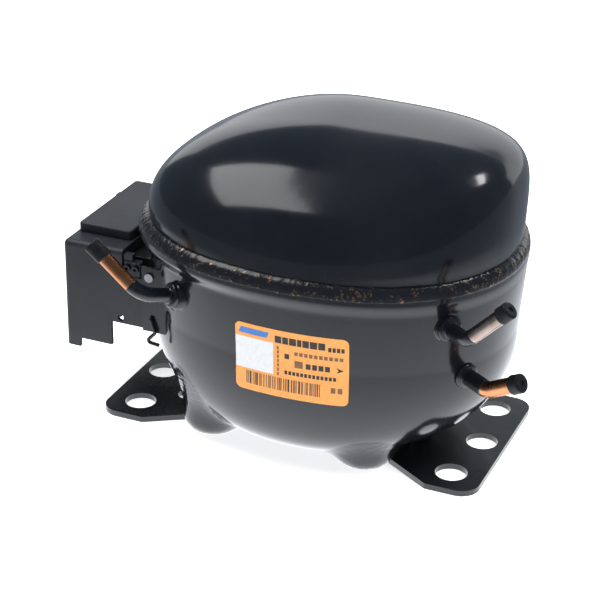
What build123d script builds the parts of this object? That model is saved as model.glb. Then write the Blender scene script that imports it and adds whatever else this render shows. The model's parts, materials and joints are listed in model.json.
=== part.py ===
from build123d import *
import os
from math import cos, sin, pi, copysign, hypot, radians

# Hermetic reciprocating compressor for a small refrigerator or freezer.
# Units are millimetres. The origin is the centre of the foot bolt pattern, on the underside of the
# foot plates. +X is the long axis (the electrical box is at -X, the suction tube at +X), +Y is the
# back (the label is at the front, -Y) and +Z is up.

# ---------------------------------------------------------------- driving dimensions
# foot plates
PLATE_T = 3.0                  # sheet thickness
BOLT_DX, BOLT_DY = 170.0, 70.0  # four foot holes, hole to hole
CENTRE_DX = 178.4              # the middle hole of each plate
HOLE_R = 8.0
PLATE_OUTER_X = 101.4
PLATE_HALF_Y = 50.4
PLATE_CORNER_R = 10.0
PLATE_VERTEX_X = 76.5          # where the outer edge turns inwards
PLATE_NECK = (57.0, 38.0)      # on the diagonal edge
PLATE_TONGUE = (36.0, 25.0)    # inner end, under the shell
PILOT_R, PILOT_X, PILOT_Y = 5.0, 66.0, 18.6

# shells
STEEL_T = 3.0
SHELL_X, SHELL_Y = 5.5, 0.5
PLAN_N = 2.2                   # exponent of the oval plan
BOWL_X, BOWL_N = 7.6, 2.15     # centre and exponent of the bowl's own plan
BOWL_A, BOWL_B = 95.0, 76.5    # half length and half width under the flare
BOWL_TOP = 94.5                # the crease where the flare starts
BOWL_TURN = 63.6               # the wall starts to round under here
BOWL_BOTTOM = PLATE_T
BOWL_TAPER = 2.1               # how far the wall has come in at BOWL_TURN
BOWL_ROUND_X, BOWL_ROUND_Y = 2.6, 3.57
COLLAR_A, COLLAR_B = 97.5, 78.5
COLLAR_LOW = 101.0             # the flare ends here
RIM_Z = 105.0
CAP_X = 6.5
CAP_A, CAP_B = 93.3, 74.5
CAP_LOW, CAP_TURN, CAP_TOP = 101.5, 111.0, 159.0
CAP_LEFT, CAP_RIGHT, CAP_FRONT, CAP_BACK = 2.1, 6.0, 2.0, 3.7
CAP_PLAN_TOP = 2.7
BEAD_TOP = 110.5

# suspension
SPRING_X = 1.0                      # centre of the four springs and of the bumps that hold them
SPRING_DX, SPRING_DY = 40.7, 41.2
BUMP_R, BUMP_ROUND, BUMP_LOW = 15.7, 9.1, 2.0
SPRING_LOW, SPRING_HIGH = 7.0, 38.0
SPRING_R, SPRING_WIRE, SPRING_TURNS = 7.4, 1.6, 6.0

# motor
AXIS_X = SHELL_X
STACK_LOW, STACK_HIGH = 44.0, 84.0
STACK_X, STACK_Y, STACK_CORNER = 52.0, 54.0, 14.0
STATOR_BORE_R, AIR_GAP = 31.0, 0.3
SLOTS = 24
WINDING_IN, WINDING_OUT = 33.5, 44.0
WINDING_H = 15.0

# pump
THROW = 9.0                    # crank throw, half the stroke
PIN_R, JOURNAL_R = 6.0, 8.0
PIN_TOP, PLUG_R, PLUG_LEN = 6.0, 0.8, 3.0   # the pin's end above the bore axis, and its plug
RUN = 0.03                     # radial running clearance
WEB_LOW, WEB_HIGH = 106.5, 110.5
DECK_LOW, DECK_HIGH = 100.0, 106.0
BORE_Z = 124.0
BORE_R = 13.0
BLOCK_MOUTH, BLOCK_FACE = 28.0, 66.8
BLOCK_HALF = 20.0
YOKE_R, YOKE_BORE, YOKE_HALF = 12.0, 9.0, 21.0
SLIDER_HALF = 9.0
PISTON_LEN = 20.0
CROWN_GAP = 0.3
LEAF_T, REED_T, VALVE_T, GASKET_T, HEAD_T = 0.4, 0.35, 3.5, 0.8, 14.0
HEAD_BOLT = 15.5               # from the bore axis, both ways

# tubes, each with its boss point, its bend point and its free end
TUBE_WALL, BOSS_R = 0.8, 6.6
TUBE_R = {"discharge": 3.5, "process": 3.5, "suction": 4.0}
BEND_R = {"discharge": 16.0, "process": 9.0, "suction": 9.0}
RUBBER_LEN = {"discharge": 9.5, "process": 6.8, "suction": 5.8}
RUBBER_T, RUBBER_TIP = 0.75, 1.6      # thickness around the tube and beyond its end

# electrical box
BOX_X0, BOX_X1 = -128.0, -74.0
BOX_Y0, BOX_Y1 = -35.0, 46.0
BOX_Z0, BOX_Z1 = 27.0, 86.5
BOX_STEP_X, BOX_STEP_Z = -94.0, 73.0  # the box steps down to here beside the shell
BOX_FRONT_END = -82.4                 # the front wall ends here
BOX_WALL = 2.0
LID_X0, LID_X1 = -125.5, -95.5
LID_Y0, LID_Y1 = -22.3, 40.5
LID_Z0, LID_T = 86.5, 5.0
TERMINAL_Z = 60.0
CABLE_WAY_TOP = 45.6
CLIP_PIVOT = (-68.6, -53.4, 62.6)
CLIP_WIRE_R = 0.9
EARTH_X, EARTH_Z = -69.5, 84.0


def export(name, shape):
    """Write one node; a list of solids becomes a compound."""
    if isinstance(shape, (list, tuple)):
        shape = Compound(children=list(shape))
    export_step(shape, f"parts/{name}.step")


# ---------------------------------------------------------------- basic shapes
def box(x0, x1, y0, y1, z0, z1):
    return Pos((x0 + x1) / 2, (y0 + y1) / 2, (z0 + z1) / 2) * Box(x1 - x0, y1 - y0, z1 - z0)


def rod(radius, start, end):
    """A round bar between two points."""
    start, end = Vector(*start), Vector(*end)
    run = end - start
    return extrude(Plane(origin=start, z_dir=run) * Circle(radius), amount=run.length)


def ring(outer, inner, start, end):
    run = Vector(*end) - Vector(*start)
    face = Plane(origin=Vector(*start), z_dir=run) * (Circle(outer) - Circle(inner))
    return extrude(face, amount=run.length)


def four(dx, dy):
    """The four corners of a rectangle about the middle of the springs."""
    return [(SPRING_X + sx * dx, sy * dy) for sx in (-1, 1) for sy in (-1, 1)]


# ---------------------------------------------------------------- shell surfaces
def oval(cx, z, left, right, front, back, n, count=32):
    """Closed superellipse outline with its own reach on each of the four sides."""
    points = []
    for i in range(count):
        c, s = cos(2 * pi * i / count), sin(2 * pi * i / count)
        across = copysign(abs(c) ** (2 / n), c) if abs(c) > 1e-9 else 0.0
        along = copysign(abs(s) ** (2 / n), s) if abs(s) > 1e-9 else 0.0
        x = cx + (right if across > 0 else left) * across
        y = SHELL_Y + (back if along > 0 else front) * along
        points.append((x, y, z))
    return Wire([Edge.make_spline([Vector(*p) for p in points], periodic=True)])


def fall(h, power):
    """How much of its reach a side keeps at height fraction h."""
    return (1 - h ** power) ** (1 / power)


def cap_solid(inset):
    """The upper shell's outside, moved in by inset on every side."""
    a, b = CAP_A - inset, CAP_B - inset
    rise = CAP_TOP - inset - CAP_TURN
    low = CAP_LOW - (1.0 if inset else 0.0)
    outlines = [oval(CAP_X, low, a, a, b, b, PLAN_N), oval(CAP_X, CAP_TURN - 6, a, a, b, b, PLAN_N)]
    for h in (0.0, 0.2, 0.4, 0.58, 0.72, 0.83, 0.91, 0.96, 0.985, 0.997):
        n = PLAN_N + (CAP_PLAN_TOP - PLAN_N) * h
        outlines.append(oval(CAP_X, CAP_TURN + rise * h, a * fall(h, CAP_LEFT), a * fall(h, CAP_RIGHT),
                             b * fall(h, CAP_FRONT), b * fall(h, CAP_BACK), n))
    return Solid.make_loft(outlines)


def bowl_solid(inset):
    """The lower shell's outside below the crease, moved in by inset."""
    a, b = BOWL_A - inset, BOWL_B - inset
    bottom = BOWL_BOTTOM + inset
    outlines = [oval(BOWL_X, BOWL_TOP, a, a, b, b, BOWL_N)]
    a, b = a - BOWL_TAPER, b - BOWL_TAPER
    for h in (0.0, 0.2, 0.4, 0.58, 0.72, 0.83, 0.91, 0.96, 0.985, 0.997):
        x, y = a * fall(h, BOWL_ROUND_X), b * fall(h, BOWL_ROUND_Y)
        outlines.append(oval(BOWL_X, BOWL_TURN - (BOWL_TURN - bottom) * h, x, x, y, y, BOWL_N))
    return Solid.make_loft(outlines)


def bump_solid(x, y, inset):
    """A rounded seat for one suspension spring, pressed into the bowl."""
    r = BUMP_R - inset
    low = BUMP_LOW + inset
    post = Pos(x, y, 0) * extrude(Plane.XY.offset(low) * Circle(r), amount=34 - inset)
    return fillet(post.faces().sort_by(Axis.Z)[0].edges(), BUMP_ROUND - inset)


def collar_solid(extra, top, lift=0.0):
    """The flared rim above the crease; lift raises the flare, to keep the sheet's thickness inside it."""
    low, high = BOWL_TOP + lift, COLLAR_LOW + lift
    bowl_a, bowl_b = BOWL_A + extra, BOWL_B + extra
    a, b = COLLAR_A + extra, COLLAR_B + extra
    foot = oval(BOWL_X, low, bowl_a, bowl_a, bowl_b, bowl_b, BOWL_N)
    flare = Solid.make_loft([foot, oval(SHELL_X, high, a, a, b, b, PLAN_N)], ruled=True)
    if lift:
        under = oval(BOWL_X, BOWL_TOP - 0.5, bowl_a, bowl_a, bowl_b, bowl_b, BOWL_N)
        flare += Solid.make_loft([under, foot], ruled=True)
    return flare + Solid.make_loft([oval(SHELL_X, z, a, a, b, b, PLAN_N) for z in (high, top)], ruled=True)


def shell_hull(extra=0.0):
    """Everything inside the shells' outer faces, used to trim what meets them."""
    return bowl_solid(-extra) + collar_solid(extra, RIM_Z)


def upper_shell():
    return cap_solid(0) - cap_solid(STEEL_T)


def lower_shell():
    outside = bowl_solid(0) + collar_solid(0, RIM_Z)
    inside = bowl_solid(STEEL_T) + collar_solid(-STEEL_T, RIM_Z + 1, lift=1.0)
    for x, y in four(SPRING_DX, SPRING_DY):
        outside += bump_solid(x, y, 0)
        inside += bump_solid(x, y, STEEL_T)
    terminal_hole = rod(15.0, (-110, 0, TERMINAL_Z), (-70, 0, TERMINAL_Z))
    shell = outside - inside - terminal_hole
    for name, (boss, bend, end) in TUBES.items():
        shell -= rod(TUBE_R[name], along(boss, bend, -TUBE_INSIDE), along(boss, bend, 12))
    return shell


def weld_bead():
    """The fillet of weld metal that closes the joint between cap and collar."""
    a, b = COLLAR_A, COLLAR_B
    steps = ((RIM_Z, 0.1), (RIM_Z + 1.8, 0.3), (RIM_Z + 3.6, -1.0), (BEAD_TOP, -3.4))
    outlines = [oval(SHELL_X + 0.2 * (z - RIM_Z), z, a + d, a + d, b + d, b + d, PLAN_N) for z, d in steps]
    return Solid.make_loft(outlines) - cap_solid(0)


def foot_welds():
    """Two ribs of weld metal per plate, between the plate and the underside of the bowl."""
    ribs = []
    for side in (-1, 1):
        for y in (-16, 16):
            near, far = sorted((side * (PLATE_TONGUE[0] + 2), side * (PLATE_TONGUE[0] + 22)))
            rib = box(near, far, y - 3, y + 3, PLATE_T, 16) - bowl_solid(0)
            ribs.append(rib.solids().sort_by(Axis.Z)[0])
    return ribs


def foot_plate(side):
    edge = [(PLATE_OUTER_X, -PLATE_HALF_Y), (PLATE_OUTER_X, PLATE_HALF_Y), (PLATE_VERTEX_X, PLATE_HALF_Y),
            PLATE_NECK, PLATE_TONGUE]
    mirrored = [(x, -y) for x, y in reversed(edge[2:])]
    sheet = make_face(Polyline(*edge, *mirrored, close=True))
    corners = sheet.vertices().filter_by(lambda v: v.X > PLATE_OUTER_X - 0.1)
    sheet = fillet(corners, PLATE_CORNER_R)
    waist = sheet.vertices().filter_by(lambda v: abs(v.X - PLATE_VERTEX_X) < 0.1)
    sheet = fillet(waist, 3.0)
    holes = [(BOLT_DX / 2, -BOLT_DY / 2), (BOLT_DX / 2, BOLT_DY / 2), (CENTRE_DX / 2, 0)]
    for x, y in holes:
        sheet -= Pos(x, y) * Circle(HOLE_R)
    sheet -= Pos(PILOT_X, PILOT_Y) * Circle(PILOT_R)
    plate = extrude(sheet, amount=PLATE_T)
    return plate if side > 0 else plate.rotate(Axis.Z, 180)


# ---------------------------------------------------------------- tubes
# boss centre on the shell, the point where the tube bends, and its open end
TUBES = {
    "discharge": ((-51.0, -63.3, 83.0), (-61.3, -77.2, 87.1), (-85.2, -78.9, 109.0)),
    "process": ((83.2, -47.8, 87.1), (95.1, -56.9, 87.4), (114.4, -59.1, 107.4)),
    "suction": ((89.0, -36.4, 58.5), (103.4, -45.2, 57.7), (119.5, -49.5, 67.1)),
}
TUBE_INSIDE = 6.0    # how far each tube reaches in from its boss centre


def along(a, b, distance):
    """The point at a distance from a, towards b and beyond."""
    a, b = Vector(*a), Vector(*b)
    return a + (b - a).normalized() * distance


def tube(name):
    boss, bend, end = TUBES[name]
    start = along(boss, bend, -TUBE_INSIDE)
    path = FilletPolyline(start, Vector(*bend), Vector(*end), radius=BEND_R[name])
    section = Plane(origin=start, z_dir=Vector(*bend) - start)
    pipe = sweep(section * Circle(TUBE_R[name]), path=path)
    return pipe - sweep(section * Circle(TUBE_R[name] - TUBE_WALL), path=path)


def tube_boss(name):
    """The turned collar that is welded to the shell around the tube."""
    boss, bend, end = TUBES[name]
    collar = ring(BOSS_R, TUBE_R[name], along(boss, bend, -5), along(boss, bend, 2.8))
    collar = chamfer(collar.edges().filter_by(GeomType.CIRCLE).filter_by(
        lambda e: abs(e.radius - BOSS_R) < 0.01).sort_by_distance(Vector(*bend))[0], 0.9)
    return collar - shell_hull()


def rubber_cap(name):
    """Soft plug that is pushed over the tube's open end."""
    boss, bend, end = TUBES[name]
    length = RUBBER_LEN[name]
    tip = along(end, bend, -RUBBER_TIP)
    body = rod(TUBE_R[name] + RUBBER_T, tip, along(tip, bend, length))
    body = fillet(body.faces().sort_by_distance(tip)[0].edges(), 1.0)
    dimple = rod(1.5, along(tip, bend, -0.3), along(tip, bend, 0.6))
    return body - rod(TUBE_R[name] + RUN, end, along(end, bend, length)) - dimple


# ---------------------------------------------------------------- label
def rating_label():
    """Thin sticker that lies on the front of the bowl, 56 x 36 mm with round corners."""
    centre_x, centre_z, half_w, half_h, thickness = 15.0, 64.8, 28.2, 17.9, 0.25
    sheet = Plane(origin=(centre_x, -100, centre_z), x_dir=(1, 0, 0), z_dir=(0, 1, 0))
    outline = sheet * RectangleRounded(2 * half_w, 2 * half_h, 3.0)
    return (extrude(outline, amount=60) & bowl_solid(-thickness)) - bowl_solid(0)


# ---------------------------------------------------------------- electrical parts
def terminal_body():
    cup = ring(15.0, 12.5, (-95, 0, TERMINAL_Z), (-83.4, 0, TERMINAL_Z))
    disc = rod(12.5, (-92.5, 0, TERMINAL_Z), (-90, 0, TERMINAL_Z))
    for x, y, z in terminal_points():
        disc -= rod(1.6, (-97, y, z), (-86, y, z))
    return cup + disc


def terminal_points():
    return [(-92, 6 * cos(a), TERMINAL_Z + 6 * sin(a)) for a in (pi / 2, 7 * pi / 6, 11 * pi / 6)]


def terminal_pins():
    return [rod(1.6, (-103, y, z), (-79, y, z)) for x, y, z in terminal_points()]


def terminal_fence():
    """Rectangular steel frame welded to the shell round the terminal."""
    outer = box(-99, -70, -26, 26, 41, 80.5)
    inner = box(-100, -69, -24.4, 24.4, 42.6, 78.9)
    return outer - inner - shell_hull()


def box_housing():
    """Cover over the terminal: open below and towards the shell, stepped down beside it."""
    x0, x1, y0, y1 = BOX_X0, BOX_STEP_X, BOX_Y0, BOX_Y1
    main = box(x0, x1, y0, y1, BOX_Z0, BOX_Z1)
    main = fillet(main.edges().filter_by(Axis.Z).filter_by(lambda e: e.center().X < x0 + 0.1), 3.0)
    brow = main.edges().filter_by(lambda e: e.center().Z > BOX_Z1 - 0.1 and e.center().X < x1 - 0.1)
    main = fillet(brow, 2.9)
    step = box(x1, BOX_X1, y0, y1, BOX_Z0, BOX_STEP_Z)
    w = BOX_WALL
    main_inside = box(x0 + w, x1 - w, y0 + w, y1 - w, BOX_Z0 - 1, BOX_Z1 - w)
    step_inside = box(x1 - w - 1, BOX_X1 + 1, y0 + w, y1 - w, BOX_Z0 - 1, BOX_STEP_Z - w)
    mouth = box(LID_X0 + 1.5, LID_X1 - 2.5, LID_Y0 + 1.5, LID_Y1 - 1.5, BOX_Z1 - 6, BOX_Z1 + 1)
    fence_way = box(-100, BOX_X1 + 1, -26.6, 26.6, 40, 81.1)
    cable_way = box(-101, BOX_X1 + 1, y0 - 1, y0 + w + 1, BOX_Z0 - 1, CABLE_WAY_TOP)
    low_edge = box(-119.5, -100, y0 - 1, y0 + w + 1, BOX_Z0 - 1, BOX_Z0 + 5)
    front_end = box(BOX_FRONT_END, BOX_X1 + 1, y0 - 1, y0 + w + 3, BOX_Z0 - 1, BOX_STEP_Z + 1)
    round_hole = rod(1.7, (-95.5, y0 - 1, 48.8), (-95.5, y0 + w + 1, 48.8))
    housing = main + step - main_inside - step_inside - mouth - fence_way
    return housing - cable_way - low_edge - front_end - round_hole - shell_hull(0.6)


def box_lid():
    plate = fillet(box(LID_X0, LID_X1, LID_Y0, LID_Y1, LID_Z0, LID_Z0 + LID_T).edges().filter_by(Axis.Z), 2.0)
    plate = fillet(plate.faces().sort_by(Axis.Z)[-1].edges(), 1.0)
    nub = box(LID_X0 - 1.6, LID_X0 + 1, 20, 25, LID_Z0 + 1.4, LID_Z0 + 3.8)
    lid = plate + fillet(nub.edges().filter_by(Axis.Z), 0.8)
    for y in (-14, 25):
        knuckle = rod(1.6, (LID_X1 + 1.3, y, LID_Z0 + 2.0), (LID_X1 + 1.3, y + 8, LID_Z0 + 2.0))
        lid += knuckle
    return lid


def ptc_starter():
    body = box(-120, -104, -20, 4, 40, 80)
    for x, y, z in terminal_points():
        body -= rod(1.75, (-121, y, z), (-103, y, z))
    return fillet(body.edges().filter_by(Axis.X), 1.5)


def overload_protector():
    can = rod(10.5, (-119, 16, 58), (-105, 16, 58))
    return fillet(can.edges().sort_by(Axis.X)[0], 1.5)


def cable_clamp():
    """Stepped bar on the box's shelf, with two round nubs for its screws."""
    y = BOX_Y0 + 0.5
    bar = fillet(box(-93.4, -84, y, y + 4, BOX_STEP_Z, BOX_STEP_Z + 8).edges().filter_by(Axis.Z), 1.0)
    return bar + box(-93.4, -88.6, y + 0.6, y + 4, BOX_STEP_Z + 7, BOX_STEP_Z + 11.5)


def clamp_screws():
    y = BOX_Y0 + 0.5
    return [ring(1.9, 0.8, (x, y - 1.4, BOX_STEP_Z + 4.6), (x, y, BOX_STEP_Z + 4.6)) for x in (-91.0, -86.4)]


def clip_bracket():
    """Upright ear welded to the bowl beside the box, for the wire clip and the earth screw."""
    ear = box(-73.8, -55, -52.3, -50.8, 54.3, 89) - shell_hull()
    for x, z, radius in ((CLIP_PIVOT[0], CLIP_PIVOT[2], CLIP_WIRE_R + RUN), (EARTH_X, EARTH_Z, 1.5)):
        ear -= rod(radius, (x, -54, z), (x, -49, z))
    return ear.solids().sort_by(SortBy.VOLUME)[-1]


def wire_clip():
    """Bent spring wire that holds the box; its straight end turns in the bracket."""
    x, y, z = CLIP_PIVOT
    route = [(x, y + 3.4, z), (x, y, z), (-66.0, -53.8, 55.0), (-71.3, -53.6, 49.3), (-64.2, -53.8, 48.6)]
    path = FilletPolyline(*[Vector(*p) for p in route], radius=1.3)
    start = Plane(origin=route[0], z_dir=Vector(*route[1]) - Vector(*route[0]))
    return sweep(start * Circle(CLIP_WIRE_R), path=path)


def earth_screw():
    return rod(2.3, (EARTH_X, -53.4, EARTH_Z), (EARTH_X, -52.3, EARTH_Z)) + rod(
        1.5, (EARTH_X, -52.4, EARTH_Z), (EARTH_X, -50.0, EARTH_Z))


def inner_connector():
    body = box(-82.8, -73.0, -11, 11, TERMINAL_Z - 8, TERMINAL_Z + 10)
    for x, y, z in terminal_points():
        body -= rod(1.65, (-86, y, z), (-78, y, z))
    return fillet(body.edges().filter_by(Axis.X), 1.5)


def lead_wires():
    wires = []
    for k in range(3):
        y = -5 + 5 * k
        route = [(-72.3, y, 66), (-64, y, 72), (-56, 0.6 * y, 88), (-44, 0.5 * y, 93)]
        path = FilletPolyline(*[Vector(*p) for p in route], radius=5.0)
        start = Plane(origin=route[0], z_dir=Vector(*route[1]) - Vector(*route[0]))
        wires.append(sweep(start * Circle(1.0), path=path))
    return wires


# ---------------------------------------------------------------- motor
def stator_stack():
    sheet = Pos(AXIS_X, 0) * (RectangleRounded(2 * STACK_X, 2 * STACK_Y, STACK_CORNER) - Circle(STATOR_BORE_R))
    slot = Pos(STATOR_BORE_R + 7.5, 0) * Rectangle(11, 3.6) + Pos(STATOR_BORE_R + 1, 0) * Rectangle(4, 1.4)
    for i in range(SLOTS):
        sheet -= Pos(AXIS_X, 0) * Rot(0, 0, 360 / SLOTS * i) * slot
    for x, y in four(SPRING_DX, SPRING_DY):
        sheet -= Pos(x, y) * Circle(2.6)
    return extrude(Plane.XY.offset(STACK_LOW) * sheet, amount=STACK_HIGH - STACK_LOW)


def stator_winding():
    """Two end rings of wound wire, and the straight runs that join them through the slots."""
    coil = None
    for low in (STACK_LOW - WINDING_H, STACK_HIGH):
        end = ring(WINDING_OUT, WINDING_IN, (AXIS_X, 0, low), (AXIS_X, 0, low + WINDING_H))
        coil = fillet(end.edges(), 3.5) if coil is None else coil + fillet(end.edges(), 3.5)
    for i in range(SLOTS):
        bar = Pos(STATOR_BORE_R + 7.5, 0, (STACK_LOW + STACK_HIGH) / 2) * Box(8, 2.8, STACK_HIGH - STACK_LOW + 12)
        coil += Pos(AXIS_X, 0, 0) * Rot(0, 0, 360 / SLOTS * i) * bar
    return coil


def stator_bolts():
    return [rod(2.5, (x, y, 40), (x, y, DECK_LOW)) + rod(4.2, (x, y, 40), (x, y, STACK_LOW))
            for x, y in four(SPRING_DX, SPRING_DY)]


def rotor_core():
    r = STATOR_BORE_R - AIR_GAP
    return ring(r, JOURNAL_R, (AXIS_X, 0, STACK_LOW - 1), (AXIS_X, 0, STACK_HIGH + 1))


def rotor_cage():
    """Cast aluminium end rings of the squirrel cage."""
    rings = []
    for low in (STACK_LOW - 4, STACK_HIGH + 1):
        rings.append(ring(STATOR_BORE_R - AIR_GAP - 0.5, 18, (AXIS_X, 0, low), (AXIS_X, 0, low + 3)))
    return rings


# ---------------------------------------------------------------- pump
PIN_X = AXIS_X - THROW          # the crank pin at rest, at bottom dead centre
CROWN_X = BLOCK_FACE - CROWN_GAP - 2 * THROW


def crankshaft():
    shaft = rod(JOURNAL_R, (AXIS_X, 0, 36), (AXIS_X, 0, WEB_LOW + 1)) - rod(4.5, (AXIS_X, 0, 35), (AXIS_X, 0, 52))
    web = rod(16, (AXIS_X, 0, WEB_LOW), (AXIS_X, 0, WEB_HIGH))
    pin = rod(PIN_R, (PIN_X, 0, WEB_LOW), (PIN_X, 0, BORE_Z + PIN_TOP))
    plug_x = AXIS_X - THROW / 2
    oil_way = rod(PLUG_R, (plug_x, 0, BORE_Z + PIN_TOP - PLUG_LEN), (plug_x, 0, BORE_Z + PIN_TOP + 1))
    return shaft + web + pin - oil_way


def oil_way_plug():
    x = AXIS_X - THROW / 2
    return rod(PLUG_R - RUN, (x, 0, BORE_Z + PIN_TOP - PLUG_LEN), (x, 0, BORE_Z + PIN_TOP))


def counterweight():
    half = ring(20.5, 16.0, (AXIS_X, 0, WEB_LOW), (AXIS_X, 0, WEB_HIGH))
    return half & box(AXIS_X + 2, AXIS_X + 40, -30, 30, WEB_LOW, WEB_HIGH)


def oil_pickup_tube():
    outer = Solid.make_cone(3.0, 4.5, 26, Plane((AXIS_X, 0, 14)))
    inner = Solid.make_cone(1.6, 3.5, 28, Plane((AXIS_X, 0, 13)))
    return outer + rod(4.5, (AXIS_X, 0, 40), (AXIS_X, 0, 50)) - inner - rod(3.5, (AXIS_X, 0, 39), (AXIS_X, 0, 51))


def slider_block():
    block = rod(YOKE_BORE - RUN, (PIN_X, -SLIDER_HALF, BORE_Z), (PIN_X, SLIDER_HALF, BORE_Z))
    return block - rod(PIN_R + RUN, (PIN_X, 0, 100), (PIN_X, 0, 150))


def yoke_tube():
    tube_ = ring(YOKE_R, YOKE_BORE, (PIN_X, -YOKE_HALF, BORE_Z), (PIN_X, YOKE_HALF, BORE_Z))
    reach = THROW + PIN_R + 0.8
    slot = box(PIN_X - PIN_R - 0.7, PIN_X + PIN_R + 0.7, -reach, reach, BORE_Z - 20, BORE_Z)
    neck = rod(6.0, (PIN_X + YOKE_R - 1.5, 0, BORE_Z), (CROWN_X - PISTON_LEN + 4, 0, BORE_Z))
    return tube_ - slot + (neck - rod(YOKE_BORE, (PIN_X, -30, BORE_Z), (PIN_X, 30, BORE_Z)))


def yoke_end_plugs():
    return [rod(YOKE_BORE, (PIN_X, y, BORE_Z), (PIN_X, y + 2, BORE_Z)) for y in (-YOKE_HALF, YOKE_HALF - 2)]


def piston():
    body = rod(BORE_R - RUN, (CROWN_X - PISTON_LEN, 0, BORE_Z), (CROWN_X, 0, BORE_Z))
    body -= rod(6.0, (CROWN_X - PISTON_LEN - 1, 0, BORE_Z), (CROWN_X - PISTON_LEN + 4, 0, BORE_Z))
    reed_relief = box(CROWN_X - 1.4, CROWN_X + 1, -4.6, 4.6, BORE_Z - 14, BORE_Z + 14)
    for x in (CROWN_X - 5, CROWN_X - 9):
        body -= ring(BORE_R + 1, BORE_R - 0.6, (x - 0.8, 0, BORE_Z), (x, 0, BORE_Z))
    return body - reed_relief


def crankcase():
    deck = fillet(box(SPRING_X - 47, AXIS_X + 46, -51, 51, DECK_LOW, DECK_HIGH).edges().filter_by(Axis.Z), 9)
    deck -= box(AXIS_X - 47, AXIS_X - 20, -24, 24, DECK_LOW - 1, DECK_HIGH + 1)
    hub = rod(13, (AXIS_X, 0, STACK_HIGH + 5.5), (AXIS_X, 0, DECK_LOW + 1))
    barrel = fillet(box(BLOCK_MOUTH, BLOCK_FACE, -BLOCK_HALF, BLOCK_HALF, DECK_HIGH - 2, BORE_Z + BLOCK_HALF - 2)
                    .edges().filter_by(Axis.X), 3)
    case = deck + hub + barrel
    for x, y in four(SPRING_DX, SPRING_DY):
        case += rod(6.5, (x, y, STACK_HIGH), (x, y, DECK_LOW + 1))
        case -= rod(2.5, (x, y, STACK_HIGH - 1), (x, y, DECK_LOW))
    case -= rod(BORE_R, (BLOCK_MOUTH - 1, 0, BORE_Z), (BLOCK_FACE + 1, 0, BORE_Z))
    case -= rod(JOURNAL_R + 2, (AXIS_X, 0, STACK_HIGH), (AXIS_X, 0, DECK_HIGH + 1))
    for y, z in head_bolt_points():
        case -= rod(2.0, (BLOCK_FACE - 12, y, z), (BLOCK_FACE + 1, y, z))
    chamber = ring(11, 9, (44, 33, DECK_HIGH), (44, 33, DECK_HIGH + 14))
    return case + chamber


def main_bearing_bush():
    return ring(JOURNAL_R + 2, JOURNAL_R + RUN, (AXIS_X, 0, STACK_HIGH + 5.5), (AXIS_X, 0, DECK_HIGH))


def head_bolt_points():
    return [(sy * HEAD_BOLT, BORE_Z + sz * HEAD_BOLT) for sy in (-1, 1) for sz in (-1, 1)]


def end_plate(start, thickness, half=BLOCK_HALF - 1):
    """A square plate on the cylinder's face, with its four bolt holes."""
    plate = fillet(box(start, start + thickness, -half, half, BORE_Z - 18, BORE_Z + 18).edges().filter_by(Axis.X), 3)
    for y, z in head_bolt_points():
        plate -= rod(2.1, (start - 1, y, z), (start + thickness + 1, y, z))
    return plate


LEAF_X = BLOCK_FACE
VALVE_X = LEAF_X + LEAF_T
GASKET_X = VALVE_X + VALVE_T
HEAD_X = GASKET_X + GASKET_T
REED_ROOT_Z = BORE_Z - 11.7
SUCTION_PORT = (-1.2, BORE_Z + 6)      # y and z
DISCHARGE_PORT = (7.5, BORE_Z + 3)


def reed_outline(x, clearance, thickness, low, high, half):
    strip = box(x, x + thickness, -half - clearance, half + clearance, low - clearance, high)
    return strip + rod(half + clearance, (x, 0, high), (x + thickness, 0, high))


def suction_leaf():
    """Spring steel sheet with a window for its tongue, which is the suction reed."""
    return end_plate(LEAF_X, LEAF_T) - rod(BORE_R - 0.5, (LEAF_X - 1, 0, BORE_Z), (LEAF_X + 1, 0, BORE_Z))


def suction_reed():
    return reed_outline(LEAF_X + 0.02, 0, REED_T, REED_ROOT_Z, BORE_Z + 6, 3.8)


def valve_plate():
    plate = end_plate(VALVE_X, VALVE_T)
    suction_port = rod(2.2, (VALVE_X - 1, *SUCTION_PORT), (GASKET_X + 1, *SUCTION_PORT))
    discharge_port = rod(2.2, (VALVE_X - 1, *DISCHARGE_PORT), (GASKET_X + 1, *DISCHARGE_PORT))
    return plate - suction_port - discharge_port


def discharge_reed():
    x = GASKET_X + 0.02
    strip = box(x, x + REED_T, 4.5, 10.5, BORE_Z - 10, BORE_Z + 3)
    return strip + rod(3.0, (x, 7.5, BORE_Z + 3), (x + REED_T, 7.5, BORE_Z + 3))


def reed_stop():
    """Stiff strip that limits how far the discharge reed lifts."""
    x = GASKET_X + REED_T + 1.3
    strip = box(x, x + 1.0, 4.5, 10.5, BORE_Z - 13, BORE_Z + 5)
    root = box(GASKET_X, x + 0.1, 4.5, 10.5, BORE_Z - 13, BORE_Z - 10.2)
    return strip + root


def head_gasket():
    return end_plate(GASKET_X, GASKET_T) - box(GASKET_X - 1, HEAD_X + 1, -12, 12, BORE_Z - 13.5, BORE_Z + 13.5)


def cylinder_head():
    block = end_plate(HEAD_X, HEAD_T)
    plenum = box(HEAD_X - 1, HEAD_X + 10, 2.6, 12, BORE_Z - 13.5, BORE_Z + 13.5)
    intake = box(HEAD_X - 1, HEAD_X + 10, -12, 1.0, BORE_Z - 9, BORE_Z + 13.5)
    neck_way = rod(4.0, (HEAD_X + 6, -25, BORE_Z), (HEAD_X + 6, -5, BORE_Z))
    return fillet(block.faces().sort_by(Axis.X)[-1].outer_wire().edges(), 2.0) - plenum - intake - neck_way


def head_bolts():
    bolts = []
    for y, z in head_bolt_points():
        head = extrude(Plane.YZ.offset(HEAD_X + HEAD_T) * Pos(y, z) * RegularPolygon(4.0, 6), amount=2.8)
        bolts.append(head + rod(2.0, (BLOCK_FACE - 12, y, z), (HEAD_X + HEAD_T + 0.5, y, z)))
    return bolts


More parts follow.
